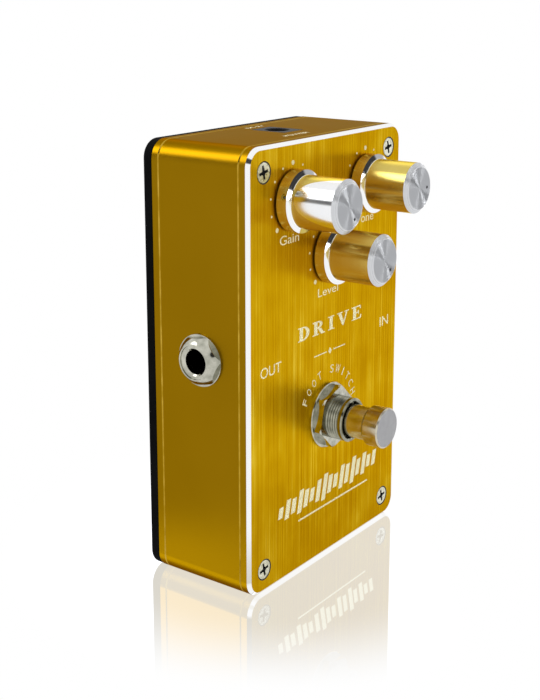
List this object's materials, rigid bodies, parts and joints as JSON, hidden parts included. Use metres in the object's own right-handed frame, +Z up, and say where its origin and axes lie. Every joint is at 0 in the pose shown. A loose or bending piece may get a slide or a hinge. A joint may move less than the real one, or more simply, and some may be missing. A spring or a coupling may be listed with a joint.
{
  "type": "guitar effects pedal",
  "caption": "Upright metal effects pedal box with rotary knobs, a push footswitch, side jacks, a top power socket and a rubber base.",
  "frame": {"origin": "middle of the lower end face of the housing, on which the pedal stands", "axes": "+X to the right seen from the front plate, +Y from the front plate to the rubber mat, +Z up the long side to the power socket"},
  "size_m": [0.0778, 0.0528, 0.118],
  "materials": {
    "anodised_gold": "satin gold anodising over a fine bead-blasted surface",
    "brushed_gold": "gold anodising over vertical brushing, with a bright cut edge",
    "knob_gold": "gold anodising, lathe turned, with bare cut rims",
    "spun_aluminium": "bare metal with a fine radial spin finish",
    "black_rubber": "matt moulded rubber",
    "nickel_screw": "bright nickel plate",
    "nickel_steel": "nickel-plated steel",
    "nickel_brass": "bright nickel plate on turned brass",
    "chrome_plated": "bright chrome sides and a satin end",
    "spring_steel": "plain spring wire",
    "tinned_brass": "tinned",
    "black_steel": "black oxide",
    "black_plastic": "moulded",
    "circuit_board": "green solder resist",
    "capacitor_sleeve": "shrunk sleeve",
    "film_capacitor": "dipped block",
    "resistor_coating": "lacquered",
    "led_lens": "clear lens",
    "cable_sheath": "soft insulation"
  },
  "bodies": {
    "case": {"amplifier_chips": "black_plastic", "back_cover": "anodised_gold", "cover_screws": "nickel_screw", "electrolytic_capacitors": "capacitor_sleeve", "film_capacitors": "film_capacitor", "footswitch_body": "black_plastic", "footswitch_bushing": "nickel_brass", "footswitch_inner_nut": "nickel_brass", "footswitch_lugs": "tinned_brass", "footswitch_nut": "nickel_brass", "footswitch_spring": "spring_steel", "footswitch_washer": "nickel_steel", "front_plate": "brushed_gold", "gain_pot_body": "nickel_steel", "housing": "anodised_gold", "input_jack_box": "black_plastic", "input_jack_contacts": "tinned_brass", "input_jack_nut": "nickel_brass", "input_jack_sleeve": "nickel_brass", "jack_wires": "cable_sheath", "level_pot_body": "nickel_steel", "main_board": "circuit_board", "output_jack_box": "black_plastic", "output_jack_contacts": "tinned_brass", "output_jack_nut": "nickel_brass", "output_jack_sleeve": "nickel_brass", "plate_screws": "nickel_screw", "pot_nuts": "nickel_steel", "pot_washers": "nickel_steel", "power_socket_body": "black_plastic", "power_socket_contacts": "tinned_brass", "power_socket_pin": "tinned_brass", "power_wires": "cable_sheath", "resistors": "resistor_coating", "ribbon_cable": "cable_sheath", "rubber_mat": "black_rubber", "status_led": "led_lens", "switch_board": "circuit_board", "tone_pot_body": "nickel_steel"},
    "gain_control": {"gain_knob": "knob_gold", "gain_knob_cap": "spun_aluminium", "gain_knob_set_screw": "black_steel", "gain_pot_shaft": "tinned_brass"},
    "tone_control": {"tone_knob": "knob_gold", "tone_knob_cap": "spun_aluminium", "tone_knob_set_screw": "black_steel", "tone_pot_shaft": "tinned_brass"},
    "level_control": {"level_knob": "knob_gold", "level_knob_cap": "spun_aluminium", "level_knob_set_screw": "black_steel", "level_pot_shaft": "tinned_brass"},
    "plunger": {"footswitch_plunger": "chrome_plated"}
  },
  "joints": [
    {"name": "gain_turn", "type": "hinge", "parent": "case", "child": "gain_control", "pos_m": [-0.0172, -0.0155, 0.103], "axis": [0, 1, 0], "range_deg": [-300, 0]},
    {"name": "tone_turn", "type": "hinge", "parent": "case", "child": "tone_control", "pos_m": [0.0172, -0.0155, 0.103], "axis": [0, 1, 0], "range_deg": [-242, 58]},
    {"name": "level_turn", "type": "hinge", "parent": "case", "child": "level_control", "pos_m": [0, -0.0155, 0.0863], "axis": [0, 1, 0], "range_deg": [-286, 14]},
    {"name": "footswitch_press", "type": "slide", "parent": "case", "child": "plunger", "axis": [0, 1, 0], "range_m": [0, 0.003], "stiffness_N_per_m": 1500, "springref_m": -0.004, "deforming": ["footswitch_spring"]}
  ]
}
